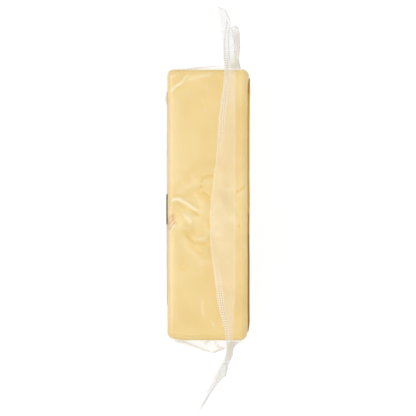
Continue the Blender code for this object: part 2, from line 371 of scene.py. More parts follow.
# fine folds of the film, which leave a shallow print in the cheese and a painted highlight in its colour
FOLDS = (
    Crease((-15.9, 45.0), (-14.4, 46.2), (-12.2, 48.1), (-9.2, 49.6), width=0.48, height=0.14),
    Crease((-9.4, 49.4), (-5.6, 51.0), (-1.0, 52.0), (2.8, 52.4), width=0.60, height=0.05),
    Crease((-10.4, 48.8), (-9.3, 51.0), (-7.4, 52.6), width=0.48, height=0.07),
    Crease((-15.2, 50.6), (-13.4, 52.0), (-11.6, 53.2), width=0.50, height=0.04),
    Crease((-14.9, 0.9), (-13.6, 2.2), (-11.8, 2.5), (-10.0, 1.5), width=0.50, height=0.13),
    Crease((-11.6, 2.2), (-9.4, 1.0), (-7.0, -0.6), (-4.6, -2.2), (-2.6, -3.8), width=0.55, height=0.11),
    Crease((-15.8, -9.6), (-14.8, -7.6), (-13.2, -5.9), width=0.40, height=0.13),
    Crease((-15.4, -12.0), (-14.4, -9.4), (-12.8, -7.2), width=0.42, height=0.12),
    Crease((-9.6, -2.4), (-8.0, -4.4), (-6.6, -6.6), width=0.90, height=0.03),
    Crease((-0.8, 48.8), (-0.3, 45.8), width=0.50, height=0.017),
    Crease((-8.4, 44.4), (-6.6, 43.6), width=0.60, height=0.018),
    Crease((-2.6, 42.8), (-2.0, 40.4), width=0.50, height=0.017),
    Crease((-1.4, 39.2), (-0.6, 36.4), width=0.50, height=0.017),
    Crease((-2.0, -37.0), (-2.3, -41.0), (-1.4, -45.8), width=0.60, height=0.022),
    Crease((1.0, -46.8), (3.2, -48.6), width=0.55, height=0.020),
)
# splits and hollows in the cheese, whose deeper yellow is painted shade
SPLITS = (
    Crease((3.2, 11.9), (0.4, 11.7), (-1.6, 11.0), (-3.4, 8.8), width=0.40, height=-0.20),
    Crease((-2.4, 5.8), (-0.4, 4.4), (1.4, 2.4), width=0.45, height=-0.14),
    Crease((-12.6, 1.0), (-10.4, 0.2), (-7.8, -1.2), (-4.8, -2.9), (-2.4, -4.4), width=0.75, height=-0.34),
    Crease((-9.6, -9.2), (-7.8, -12.6), (-5.4, -14.8), (-2.0, -15.6), (1.2, -15.8),
           width=0.55, height=-0.22),
    Crease((0.9, -4.0), (0.5, -7.6), (0.9, -10.4), width=0.8, height=-0.12),
    Crease((10.9, 4.6), (13.0, 6.0), (15.2, 7.8), width=0.50, height=-0.14),
    Crease((-4.6, 7.6), (-1.8, 3.8), (0.6, 0.4), width=1.40, height=-0.05),
    Crease((-9.0, -15.4), (-4.6, -18.0), (-1.0, -21.0), width=0.90, height=-0.05),
    Crease((-11.6, -24.6), (-7.4, -26.8), width=0.70, height=-0.04),
)
# small bubbles and specks under the film
SPECKS = (
    Dent(-2.2, 9.4, 0.30, -0.05),
    Dent(-2.7, 7.5, 0.40, -0.16),
    Dent(12.5, -8.4, 0.42, -0.14),
)
# the brownish spot at the left edge, where the film is puckered
PUCKERS = (
    Crease((-16.3, -4.2), (-16.0, -7.0), (-16.1, -10.4), width=0.50, height=-0.10, ends=0.2),
    Crease((-16.0, -8.6), (-15.0, -6.8), (-13.4, -5.2), width=0.38, height=-0.08, ends=0.2),
    Crease((-15.6, -10.6), (-14.5, -8.0), (-12.9, -6.2), width=0.38, height=-0.08, ends=0.2),
    Dent(-14.4, -4.6, 0.9, -0.04),
)
# painted highlight in strips along the left edge, where the rounded edge faces the left light, and paler
# cheese in patches between the ridges
HIGHLIGHT_STRIPS_AND_PALE_PATCHES = (
    Crease((-13.9, 46.0), (-13.6, 24.0), (-13.6, 5.0), width=2.2, ends=0.15),
    Crease((-14.6, -8.0), (-14.2, -30.0), (-14.2, -50.0), width=1.6, ends=0.15),
    Crease((-9.6, -3.4), (-6.4, -7.0), (-4.6, -10.4), width=1.6),
    Crease((-1.6, -9.0), (1.2, -12.0), width=1.4),
    Crease((-11.6, -12.4), (-8.4, -16.6), (-4.0, -20.4), width=1.4),
    Crease((-13.0, 4.6), (-6.0, 8.6), (-3.6, 10.2), width=1.5),
    Crease((-4.2, -22.6), (-1.6, -24.0), width=1.0),
)
# broad hollows and mounds round the crumpled middle
HOLLOWS = (
    Dent(-4.6, -10.0, 4.6, -0.30),
    Dent(-9.6, -8.0, 3.0, 0.18),
    Dent(-2.0, 3.4, 3.6, 0.18),
    Dent(-12.6, -2.0, 2.6, -0.18),
    Dent(5.4, 2.0, 3.0, 0.22),
)


def heights(shapes, x, y):
    """How high the shapes stand together."""
    return sum(shape.height * shape.mark(x, y) for shape in shapes)


def marks(shapes, x, y):
    """1 where any of the shapes is, down to 0 away from them."""
    return np.clip(sum(shape.mark(x, y) for shape in shapes), 0, 1)


def shown_relief(x, y):
    """Height of the shown side over its plain form: its ridges, splits and slow unevenness."""
    places = np.column_stack([x, y, np.zeros_like(x)])
    broad = BROAD_RELIEF * soft_noise(places, BROAD_SIZE)
    fine = FINE_RELIEF * bell(y, CRUMPLED_Y, CRUMPLED_REACH) * soft_noise(places, FINE_SIZE, 5)
    return heights(RIDGES + SPLITS + SPECKS + PUCKERS + HOLLOWS, x, y) + broad + fine


def make_block(name, offset, end_strip=0, end_cuts=0):
    """A box of small faces, finer on the shown side, and its form once it is rounded.

    A strip of the shown side along each end can be made finer still. Gives the piece, its sharp
    points, the rounded ones at the offset from the block, and the way that those face.
    """
    bpy.ops.mesh.primitive_cube_add(size=1, location=block_middle)
    piece = bpy.context.object
    piece.name = name
    piece.scale = half_block * 2
    bpy.ops.object.transform_apply(location=True, rotation=False, scale=True)
    grid = piece.modifiers.new("grain", "REMESH")
    grid.mode = "VOXEL"
    grid.voxel_size = BLOCK_GRAIN
    bpy.ops.object.modifier_apply(modifier="grain")
    select_points(piece, on_shown_side(read_points(piece)))
    bpy.ops.mesh.subdivide(number_cuts=SHOWN_CUTS)
    bpy.ops.object.mode_set(mode="OBJECT")
    if end_cuts:
        flat = read_points(piece)
        near_end = np.abs(flat[:, 1]) > half_block.y - end_strip
        select_points(piece, on_shown_side(flat) & near_end)
        bpy.ops.mesh.subdivide(number_cuts=end_cuts)
        bpy.ops.object.mode_set(mode="OBJECT")
    sharp = read_points(piece)
    points, facing = on_block(sharp, offset)
    return piece, sharp, points, facing


cheese, sharp, points, facing = make_block("cheese_block", -FILM_ROOM)
shown = facing_up(facing)
x, y = points[:, 0], points[:, 1]
relief = shown_relief(x, y) - FOLD_PRINT * heights(FOLDS, x, y)
points += facing * (swells(points) * (1 - shown))[:, None]
points[:, 2] += relief * shown
write_points(cheese, points)
# painted shade: the splits' mask for a deeper yellow
write_values(cheese, "split", marks(SPLITS, x, y) * shown)
# the pale mask: painted highlight on the film's folds and ridges and on the left-edge strips, and paler
# cheese in the patches between the ridges
pale = heights(FOLDS, x, y) / FOLD_HIGHLIGHT_HEIGHT + 0.25 * marks(RIDGES, x, y) + 0.20 * marks(HIGHLIGHT_STRIPS_AND_PALE_PATCHES, x, y)
write_values(cheese, "pale", np.clip(pale, 0, 1) * shown)
write_values(cheese, "browned", 0.5 * marks(SPECKS, x, y) + marks(PUCKERS, x, y))
write_values(cheese, "crumpled", bell(y, STREAKED_Y, STREAKED_REACH) * shown)
# painted shade: deeper yellow in the hollows, more so the deeper they sink
write_values(cheese, "hollow", np.clip(-relief / HOLLOW_SHADE_DEPTH, 0, 1) * shown)
bpy.ops.object.shade_smooth()

start = new_material("gruyere_paste", cheese)
mottle = speckle(start, 95, 3.0)
grain = speckle(start, 900, 2.0)
clouds = speckle(start, 40, 1.0)
paste = mottle.step(0.35, 0.68).mix(PASTE, PALE_PASTE)
paste = (clouds.step(0.42, 0.62) * 0.7).mix(paste, CLOUDED_PASTE)
streaked = speckle(start, 120, 2.0, (1, 2.0, 1)).step(0.50, 0.66)
paste = (streaked * attribute(start, "crumpled") * 0.6).mix(paste, STREAKED_PASTE)
# painted shade: splits and hollows turn a deeper yellow
deep = (attribute(start, "split") * 0.75 + attribute(start, "hollow") * 0.5).clamp()
paste = deep.mix(paste, SHADED_SPLIT_PASTE)
# painted highlight: bright cream where the pale mask is, on folds, ridges and left-edge strips
paste = (attribute(start, "pale") * 0.8).mix(paste, HIGHLIGHT_AND_PALE_PASTE)
paste = (attribute(start, "browned") * 0.75).clamp().mix(paste, BROWNED_PASTE)
rough = start.node("Bump", {"Height": grain + mottle * 2.0, "Strength": 0.25, "Distance": 0.1 * mm})
finish = start.node("BsdfPrincipled", {
    "Base Color": paste,
    "Roughness": 0.5 + 0.12 * grain,
    "Subsurface Weight": 0.2,
    "Subsurface Radius": (1.0, 0.62, 0.28),
    "Subsurface Scale": 2.2 * mm,
    "Specular IOR Level": 0.3,
    "Normal": rough,
})
start.node("OutputMaterial", {"Surface": finish})
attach(cheese, "root")
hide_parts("cheese")
bpy.ops.object.select_all(action="DESELECT")


# The film that clings to the block: one clear skin all round it, drawn tight by the vacuum,
# which follows the cheese, stands off it in fine folds and gathers to a ridge over each end.

SKIN_LIFT = 0.02 * mm
END_STRIP = 1.3 * mm
END_CUTS = 3
STRAIGHT_MIRROR = 0.035
MOST_MIRROR = 0.10
EDGE_ON_HAZE = 0.18
TOP_RIDGE_X = 6.6 * mm
TOP_RIDGE = 1.9 * mm
BOTTOM_RIDGE_X = 1.9 * mm
BOTTOM_RIDGE = 5.6 * mm
DEEP_RIDGE_SHARE = 0.2
RIM_REACH = 1.0 * mm
# how milky each place of the skin is, from 0 to 1, how rough its gloss is, and how much duller
# that is where the skin is loose
TIGHT_HAZE = 0.03
# partly the milkiness where the film stands off the folds and ridges, partly a painted highlight along them
LIFT_AND_HIGHLIGHT_HAZE = 0.08
PLEAT_HAZE = 0.30
# painted highlight along the rounded edge that faces left and up, towards the strongest light
RIM_HIGHLIGHT_HAZE = 0.16
TIGHT_GLOSS = 0.26
LOOSE_DULLING = 0.8
TIGHT_TINT = (0.96, 0.90, 0.76, 1)
LOOSE_TINT = (0.95, 0.97, 1.0, 1)
PLEAT_TINT = (0.70, 0.62, 0.50, 1)
# pleats of the gathered film over the two ends, one of them a double fold
EAR_PLEATS = (
    Crease((-14.6, -54.3), (-9.6, -55.6), (-4.0, -57.3), (0.4, -58.9), (1.9, -59.8),
           width=0.32, ends=0.1),
    Crease((1.7, -59.6), (3.8, -58.7), (6.7, -57.7), width=0.42, ends=0.1),
    Crease((1.7, -59.5), (3.8, -58.6), (6.7, -57.6), width=0.42, ends=0.1),
    Crease((-4.6, -54.5), (-2.1, -55.1), (1.8, -55.3), (4.2, -54.9), (6.6, -54.6), width=0.30),
    Crease((-2.4, -56.8), (0.3, -56.0), (2.5, -55.3), width=0.34),
    Crease((3.6, -55.2), (3.2, -56.6), (4.4, -57.6), (6.4, -57.4), width=0.32),
    Crease((-14.4, 54.1), (-6.0, 55.0), (2.0, 55.8), (6.2, 56.3), width=0.16, ends=0.1),
    Crease((1.9, 54.5), (3.8, 54.3), (5.6, 54.6), width=0.45),
)


def gather(x, z, ridge_x, ridge):
    """How far the gathered film stands off an end of the block."""
    side = np.where(x < ridge_x, -half_block.x, half_block.x)
    across = np.clip(1 - (x - ridge_x) / (side - ridge_x), 0, 1)
    depth = DEEP_RIDGE_SHARE + (1 - DEEP_RIDGE_SHARE) * (z / (2 * half_block.z)) ** 3
    return ridge * across * depth


skin, sharp, points, facing = make_block("film_skin", SKIN_LIFT, END_STRIP, END_CUTS)
shown = facing_up(facing)
x, y, z = points.T.copy()
points += facing * (swells(points) * (1 - shown))[:, None]
points[:, 2] += (shown_relief(x, y) + heights(FOLDS, x, y)) * shown
over_end = np.clip((np.abs(sharp[:, 1]) - half_block.y + RIM_REACH) / RIM_REACH, 0, 1)
top_gather = gather(x, z, TOP_RIDGE_X, TOP_RIDGE) * over_end * (y > 0)
bottom_gather = gather(x, z, BOTTOM_RIDGE_X, BOTTOM_RIDGE) * over_end * (y < 0)
points[:, 1] += top_gather - bottom_gather
write_points(skin, points)
# milkier where the film stands off the folds and ridges, partly as a painted highlight
lift_and_highlight = marks(FOLDS, x, y) + 0.5 * marks(RIDGES, x, y)
write_values(skin, "lift_and_highlight", np.clip(lift_and_highlight, 0, 1) * shown)
# painted highlight: milkier where the skin faces left and up, towards the left light
write_values(skin, "left_rim_highlight", np.clip(-facing[:, 0], 0, 1) * np.clip(facing[:, 2] * 2, 0, 1))
write_values(skin, "pleated", marks(EAR_PLEATS, points[:, 0], points[:, 1]) * over_end)
write_values(skin, "loose", np.clip((top_gather + bottom_gather) / mm, 0, 1))
bpy.ops.object.shade_smooth()


def clear_film(start, haze, tint, gloss, normal, mirror_share=1.0):
    """Clear film: see-through, milky by the haze, with a surface gloss of the given roughness.

    It grows milkier edge-on, because the eye then looks through more of it.
    """
    edge_on = start.node("LayerWeight", {"Blend": 0.35}, output=1)
    milk = start.node("BsdfPrincipled", {
        "Base Color": tint,
        "Roughness": 0.5,
        "Specular IOR Level": 0.0,
        "Normal": normal,
    })
    clear = start.node("BsdfTransparent", {"Color": (1, 1, 1, 1)})
    milkiness = (haze + edge_on**3 * EDGE_ON_HAZE).clamp()
    milky = start.node("MixShader", {0: milkiness, 1: clear, 2: milk})
    shine = start.node("BsdfGlossy", {"Color": (1, 1, 1, 1), "Roughness": gloss, "Normal": normal})
    turned = start.node("LayerWeight", {"Blend": 0.5, "Normal": normal}, output=1)
    mirror = (turned**5 + STRAIGHT_MIRROR).math("MINIMUM", MOST_MIRROR) * mirror_share
    surface = start.node("MixShader", {0: mirror, 1: milky, 2: shine})
    start.node("OutputMaterial", {"Surface": surface})


start = new_material("clinging_film", skin)
ripple = speckle(start, 260, 2.0, (1, 0.45, 1))
pleated = attribute(start, "pleated")
loose = attribute(start, "loose")
# milkier where the film stands off the folds and ridges, partly as a painted highlight
haze = TIGHT_HAZE + attribute(start, "lift_and_highlight") * LIFT_AND_HIGHLIGHT_HAZE
# painted highlight along the left rim, and milkier pleats over the ends
haze = haze + pleated * PLEAT_HAZE + attribute(start, "left_rim_highlight") * RIM_HIGHLIGHT_HAZE
tint = loose.mix(TIGHT_TINT, LOOSE_TINT)
tint = pleated.mix(tint, PLEAT_TINT)
wrinkles = start.node("Bump", {"Height": ripple, "Strength": 0.15, "Distance": 0.12 * mm})
clear_film(start, haze, tint, TIGHT_GLOSS, wrinkles, 1.0 - loose * LOOSE_DULLING)
skin.visible_shadow = False
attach(skin, "root")
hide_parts("film")
bpy.ops.object.select_all(action="DESELECT")


# The sealed film that stands off the block: two plies pressed together in a knurled band. It
# lies folded over on the shown side as a flap, and stands out from each end as a crumpled fin.

SEAM_X = 10.85 * mm
SEAL_END = 54 * mm
SEAM_Z = 60.6 * mm
FLAP_WIDTH = 7.1 * mm
FLAP_BOW = 3.1 * mm
FLAP_BOW_Y = -8 * mm
FLAP_BOW_REACH = 37 * mm
FLAP_LIE_ANGLE = math.radians(3)
FLAP_GRID = 10 * mm
SHEET_FOOT = 1 * mm
FIN_REACH = 28 * mm
FIN_LIFT = 0.4 * mm
FIN_FOOT_SHARE = 0.3
FIN_FOLD_SOFTNESS = 0.3
HINGE_WIDTH = 0.5 * mm
TRIM_WIDTH = 0.35 * mm
# the knurled band along the free edge, which grows clear towards the ends of the block and fades
# over a share of each fin
BAND_START = 0.25 * mm
BAND_WIDTH = 2.6 * mm
BAND_EDGE = 0.3 * mm
KNURL_PITCH = 1.3 * mm
KNURL_FROM = 14 * mm
KNURL_CLEAR = 40 * mm
KNURL_HEIGHT = 0.05 * mm
KNURL_LEFT = 0.15
PRESS_LEAST = 0.05
TOP_KNURL_FADE = 1 / 1.8
BOTTOM_KNURL_FADE = 1 / 6
# shares of a fin's reach over which its own look and its crumple come in and the hinge dies away
FIN_BLEND = 1 / 30
CRUMPLE_BLEND = 1 / 5
HINGE_BLEND = 1 / 6
CRUMPLE = 0.12 * mm
CRUMPLE_SIZE = 3.0 * mm
# a fin is clearer and less lined deep down, and milkiest at its foot beside the block
UPPER_FROM = 0.85 * SEAM_Z
UPPER_RISE = 0.12 * SEAM_Z
LINES_RISE = 0.5 * SEAM_Z
FOOT_Y = 1.035 * SEAL_END
FOOT_REACH = 0.12 * SEAL_END
FLAP_ROWS = 110
DEEP_ROWS = 60
SHEET_COLUMNS = 620
HAIR = 1e-7
# how milky each place of the sealed film is, from 0 to 1, and what share of that is left deep down
FLAP_HAZE = 0.13
RISEN_HAZE = 0.13
PRESSED_HAZE = 0.42
GAP_HAZE = 0.28
FIN_HAZE = 0.13
LINE_HAZE = 0.36
LAYER_HAZE = 0.30
FOOT_HAZE = 0.30
DEEP_SHARE = 0.3
SEALED_GLOSS = 0.2
FLAP_TINT = (0.96, 0.95, 0.91, 1)
FIN_TINT = (0.74, 0.73, 0.71, 1)
FOOT_TINT = (0.83, 0.76, 0.61, 1)
LAYER_TINT = (0.73, 0.67, 0.565, 1)
LINE_TINT = (0.58, 0.54, 0.49, 1)
PRESSED_TINT = (0.95, 0.95, 0.92, 1)
GAP_TINT = (0.56, 0.47, 0.33, 1)


class FinEnd:
    """One end of the pack: how the flap rises there, and the fold lines of its fin.

    A fold line is its place on the flat film, its height, and its path as (X, distance out from
    the block), in millimetres. The last one is the free edge.
    """

    def __init__(self, seam_shift, rise_from, rise_angle, lines):
        self.seam_shift = seam_shift * mm
        self.rise_from = rise_from * mm
        self.rise_angle = math.radians(rise_angle)
        self.places = [place * mm for place, height, path in lines]
        self.heights = [height * mm for place, height, path in lines]
        self.paths = [np.array(path) * mm for place, height, path in lines]


TOP_END = FinEnd(0.0, 22, 52, (
    (1.0, 1.0, ((11.1, 0), (11.5, 8), (11.9, 16.8))),
    (8.0, 8.0, ((12.4, 0), (10.9, 7), (11.0, 16.0))),
    (15.0, 15.0, ((11.9, 0), (11.3, 8), (10.4, 17.6))),
    (22.0, 22.0, ((10.2, 0), (12.2, 8), (12.0, 16.6))),
    (29.0, 29.0, ((10.6, 0), (11.4, 8), (11.8, 16.2))),
    (36.0, 36.0, ((12.2, 0), (10.7, 9), (11.0, 15.4))),
    (43.0, 43.0, ((11.6, 0), (12.0, 6), (12.2, 14), (11.6, 16.8))),
    (49.0, 49.0, ((10.9, 0), (10.6, 8.4), (11.3, 12.0), (10.4, 16.4))),
    (54.0, 53.0, ((11.4, 0), (11.2, 8.0), (11.4, 12.2), (9.6, 17.0))),
    (58.0, 57.0, ((13.2, 0), (12.1, 4.5), (12.6, 9.0), (12.2, 13.0), (10.8, 17.2))),
    (61.0, 61.5, ((11.2, 0), (12.2, 3), (12.6, 6), (12.9, 10.4), (12.8, 14.2), (12.2, 16.6), (10.9, 17.8))),
    (63.6, 63.2, ((10.0, 0), (10.2, 8.0), (10.9, 10.6), (10.2, 13.0), (9.2, 17.2))),
    (66.6, 64.6, ((8.3, 0), (8.1, 9.0), (8.1, 13.3), (8.4, 17.2), (8.9, 19.2))),
    (69.2, 65.6, ((6.9, 0), (6.5, 9.6), (6.7, 13.3), (7.4, 18.4), (7.4, 20.8), (7.0, 23.6))),
    (70.6, 66.2, ((6.3, 0), (5.9, 5.0), (5.6, 9.6), (5.2, 13.0), (4.7, 17.0), (4.2, 20.9), (3.2, 25.1))),
))
BOTTOM_END = FinEnd(-1.0, 30, 67, (
    (1.0, 1.0, ((10.4, 0), (9.6, 6), (6.6, 12), (1.6, 20.0))),
    (8.0, 8.0, ((11.2, 0), (10.2, 6), (7.4, 12), (2.6, 19.0))),
    (15.0, 15.0, ((11.6, 0), (10.2, 6), (7.6, 12), (2.8, 20.5))),
    (22.0, 22.0, ((10.2, 0), (9.4, 5), (6.2, 12), (1.8, 19.6))),
    (29.0, 29.0, ((9.4, 0), (9.4, 5), (5.4, 12), (0.6, 21.0))),
    (36.0, 36.0, ((10.8, 0), (10.0, 6), (7.0, 12), (1.6, 20.4))),
    (43.0, 43.0, ((11.0, 0), (9.8, 6), (6.4, 12), (-0.8, 22.5))),
    (49.0, 49.0, ((9.8, 0), (9.6, 5), (6.2, 12), (-0.2, 22.0))),
    (54.0, 53.0, ((10.4, 0), (10.2, 5), (7.2, 11), (2.2, 18.0), (-0.8, 24.0))),
    (58.0, 57.5, ((15.2, 0), (13.4, 0.6), (12.2, 1.6), (11.0, 2.8), (10.6, 4.6), (10.3, 6.0), (9.0, 8.2),
                  (8.5, 9.4), (7.6, 12.0), (7.1, 14.0), (4.8, 16.1), (1.6, 20.3), (-1.6, 25.4))),
    (61.0, 61.5, ((10.0, 0), (10.2, 2.8), (10.0, 6.0), (8.7, 8.9), (7.8, 12.0), (7.3, 14.2), (5.2, 15.8),
                  (2.5, 19.0), (1.0, 21.4), (-0.4, 24.0), (-2.1, 27.0))),
    (66.6, 64.6, ((8.9, 0), (9.2, 4.0), (8.3, 8.0), (6.8, 10.0), (6.6, 14.2), (4.2, 17.0), (1.6, 20.6),
                  (-0.9, 24.4), (-2.7, 27.3))),
    (69.2, 66.0, ((7.4, 0), (7.8, 3.0), (7.2, 8.0), (5.7, 11.4), (4.7, 14.6), (2.9, 17.8), (1.0, 20.8),
                  (-1.4, 24.4), (-3.2, 27.4))),
    (70.6, 66.8, ((6.7, 0), (7.0, 2.3), (6.8, 4.7), (6.1, 7.7), (5.4, 9.2), (4.2, 11.6), (3.5, 14.0),
                  (2.3, 16.7), (1.0, 19.2), (-0.2, 21.2), (-2.1, 24.1), (-3.7, 27.5))),
))
# dark fold lines of the fins
FIN_LINES = (
    Crease((7.3, 74.6), (7.4, 72.4), (6.6, 67.3), (6.4, 63.6), (6.5, 56.8), width=0.22, ends=0.1),
    Crease((8.4, 71.6), (8.1, 67.3), (8.1, 62.9), (8.4, 56.7), width=0.20, ends=0.1),
    Crease((8.6, 71.0), (10.0, 68.8), (11.5, 66.0), width=0.20),
    Crease((8.8, 68.9), (10.3, 66.4), (10.6, 64.6), (9.3, 62.9), width=0.22),
    Crease((12.0, 58.6), (12.4, 56.6), (13.0, 54.6), width=0.25),
    Crease((3.2, 79.1), (4.2, 74.9), (4.7, 71.0), (5.2, 67.0), (5.6, 63.6), (6.2, 57.0),
           width=0.18, ends=0.05),
    Crease((3.2, 79.0), (5.6, 78.0), (7.0, 77.6), (7.6, 75.6), (8.8, 73.4), (9.6, 71.6),
           width=0.18, ends=0.05),
    Crease((9.7, 71.3), (10.9, 71.6), (12.3, 70.4), (12.7, 68.2), (12.8, 64.1), (12.5, 58.9),
           width=0.18, ends=0.05),
    Crease((5.0, -63.3), (6.8, -63.2), (8.4, -63.0), width=0.30),
    Crease((3.1, -59.7), (3.4, -61.2), (4.0, -62.4), (5.2, -63.3), width=0.20),
    Crease((6.7, -56.4), (6.0, -61.0), (4.1, -66.0), (1.0, -73.4), (-2.2, -80.0),
           width=0.20, ends=0.05),
    Crease((11.0, -57.0), (9.6, -61.4), (7.6, -67.6), (4.8, -70.4), (1.6, -74.8), (-1.2, -79.6),
           width=0.20, ends=0.05),
    Crease((0.3, -72.0), (1.8, -71.5), (0.6, -74.2), width=0.40),
    Crease((1.4, -72.2), (0.3, -74.0), (-1.4, -77.0), (-3.2, -80.4), width=0.18, ends=0.1),
)
# places where several layers of a fin lie over each other
FIN_LAYERS = (
    Crease((10.9, 62.6), (10.9, 54.6), width=0.60, ends=0.1),
    Crease((8.8, 55.6), (11.6, 55.6), width=1.1, ends=0.1),
    Crease((11.8, 70.6), (12.0, 66.0), (12.1, 59.0), width=0.9),
    Crease((7.3, -63.4), (7.3, -68.4), width=0.65, ends=0.15),
    Crease((10.6, -54.6), (8.6, -58.8), (7.2, -62.4), width=2.4, ends=0.1),
    Crease((13.6, -54.6), (11.6, -56.2), (10.4, -58.6), width=1.5, ends=0.1),
    Crease((5.0, -65.0), (3.6, -68.0), (2.4, -71.0), width=1.0),
)


def end_share(along, end):
    """How far the flap has risen there, from 0 along the middle to 1 at the end of the block."""
    return smooth((np.abs(along) - end.rise_from) / (SEAL_END - end.rise_from))


def flap_width(along):
    """The flap is trimmed in a bow, widest near the middle of the block."""
    bow = np.clip(np.abs(along - FLAP_BOW_Y) / FLAP_BOW_REACH, 0, 1)
    return FLAP_WIDTH + FLAP_BOW * np.cos(bow * math.pi / 2) ** 2


def flap_points(along, up, end):
    """The flap folds over at the seam, lies on the block and stands up towards its ends."""
    share = end_share(along, end)
    angle = FLAP_LIE_ANGLE + (end.rise_angle - FLAP_LIE_ANGLE) * share
    out = (up - SEAM_Z) / FLAP_GRID * flap_width(along)
    hinge = SEAM_X + end.seam_shift * share
    return np.column_stack([hinge - out * np.cos(angle), along, SEAM_Z + out * np.sin(angle)])


def fin_points(share, up, end, way):
    """The fin, from the block, where the share is 0, to its free edge, where it is 1."""
    reach = share * np.interp(up, end.places, [path[-1, 1] for path in end.paths])
    by_line = np.array([np.interp(reach, path[:, 1], path[:, 0]) for path in end.paths])
    feet = np.array([path[0, 0] for path in end.paths])
    level = np.clip(np.searchsorted(end.places, up) - 1, 0, len(end.places) - 2)
    low, high = np.array(end.places)[level], np.array(end.places)[level + 1]
    part_way = (up - low) / (high - low)
    blend = FIN_FOLD_SOFTNESS * smooth(part_way) + (1 - FIN_FOLD_SOFTNESS) * part_way
    height = np.interp(up, end.places, end.heights)
    each = np.arange(len(up))
    x = by_line[level, each] * (1 - blend) + by_line[level + 1, each] * blend
    foot_x = feet[level] * (1 - blend) + feet[level + 1] * blend
    at_block = np.column_stack([foot_x, np.full_like(up, way * SEAL_END), up])
    foot, _ = on_block(at_block, FIN_LIFT)
    above = flap_points(at_block[:, 1], up, end)
    foot = np.where((up > SEAM_Z)[:, None], above, foot)
    drift = (foot - at_block) * (1 - share)[:, None]
    z = foot[:, 2] + (height - foot[:, 2]) * smooth(share / FIN_FOOT_SHARE)
    return np.column_stack([x + drift[:, 0], at_block[:, 1] + way * reach + drift[:, 1], z])


sheet_rows = FLAP_ROWS + DEEP_ROWS
bpy.ops.mesh.primitive_grid_add(x_subdivisions=SHEET_COLUMNS, y_subdivisions=sheet_rows, size=1)
flange = bpy.context.object
flange.name = "sealed_flange"
flat = read_points(flange) + 0.5
row = flat[:, 1] * sheet_rows
deep = SHEET_FOOT + row / DEEP_ROWS * (SEAM_Z - SHEET_FOOT)
near = SEAM_Z + (row - DEEP_ROWS) / FLAP_ROWS * FLAP_GRID
up = np.where(row < DEEP_ROWS, deep, near)
half_length = SEAL_END + FIN_REACH
column = half_length / SHEET_COLUMNS * 2
# each fin has a whole number of columns, so that one column lies right at the end of the block
fin_reach = round(FIN_REACH / column) * column
along = flat[:, 0] * 2 * half_length - half_length
beyond = np.abs(along) - (half_length - fin_reach)
along = np.where(beyond > 0, along, along * SEAL_END / (half_length - fin_reach))
share = np.clip(beyond / fin_reach, 0, 1)

at_top = along > 0
top_flap = flap_points(along, up, TOP_END)
bottom_flap = flap_points(along, up, BOTTOM_END)
flap = np.where(at_top[:, None], top_flap, bottom_flap)
top_fin = fin_points(share, up, TOP_END, 1)
bottom_fin = fin_points(share, up, BOTTOM_END, -1)
fin = np.where(at_top[:, None], top_fin, bottom_fin)
over_seam = up > SEAM_Z - 10 * HAIR
on_flap = (beyond < HAIR) & over_seam
points = np.where(on_flap[:, None], flap, fin)
covered = (beyond < -HAIR) & ~over_seam
write_points(flange, points)

run = points[:, 1].copy()
inward = (SEAM_Z + FLAP_GRID - up) / FLAP_GRID * flap_width(along)
risen = np.where(at_top, end_share(along, TOP_END), end_share(along, BOTTOM_END))
across = inward - BAND_START
in_band = smooth(across / BAND_EDGE) * smooth((BAND_WIDTH - across) / BAND_EDGE)
turn = 2 * math.pi / KNURL_PITCH / math.sqrt(2)
knurl = np.sin((run + across) * turn) * np.sin((run - across) * turn)
crumple = soft_noise(np.column_stack([run / 2, up, 0 * up]), CRUMPLE_SIZE, 3)
crumple *= smooth(share / CRUMPLE_BLEND)
normals = np.empty(len(points) * 3)
flange.data.vertices.foreach_get("normal", normals)
pressed = smooth((np.abs(along) - KNURL_FROM) / (KNURL_CLEAR - KNURL_FROM))
pressed *= 1 - (1 - KNURL_LEFT) * smooth(share / np.where(at_top, TOP_KNURL_FADE, BOTTOM_KNURL_FADE))
relief = -knurl * in_band * pressed * (1 - share) * KNURL_HEIGHT + crumple * CRUMPLE
points += normals.reshape(-1, 3) * relief[:, None]
write_points(flange, points)
write_values(flange, "inward", np.maximum(inward, 0))
write_values(flange, "across", across)
write_values(flange, "run", run)
write_values(flange, "fin", smooth(share / FIN_BLEND))
hinge = np.clip(1 - np.abs(up - SEAM_Z) / HINGE_WIDTH, 0, 1)
write_values(flange, "hinge", hinge * (1 - smooth(share / HINGE_BLEND)))
write_values(flange, "pressed", PRESS_LEAST + (1 - PRESS_LEAST) * pressed)
write_values(flange, "risen", risen)
write_values(flange, "upper", smooth((up - UPPER_FROM) / UPPER_RISE))
write_values(flange, "foot", smooth(1 - np.abs(np.abs(points[:, 1]) - FOOT_Y) / FOOT_REACH))
lines_left = smooth(up / LINES_RISE)
write_values(flange, "lined", marks(FIN_LINES, points[:, 0], points[:, 1]) * lines_left)
write_values(flange, "layered", marks(FIN_LAYERS, points[:, 0], points[:, 1]) * lines_left)

select_points(flange, covered)
bpy.ops.mesh.delete(type="VERT")
bpy.ops.object.mode_set(mode="OBJECT")
bpy.ops.object.shade_smooth()

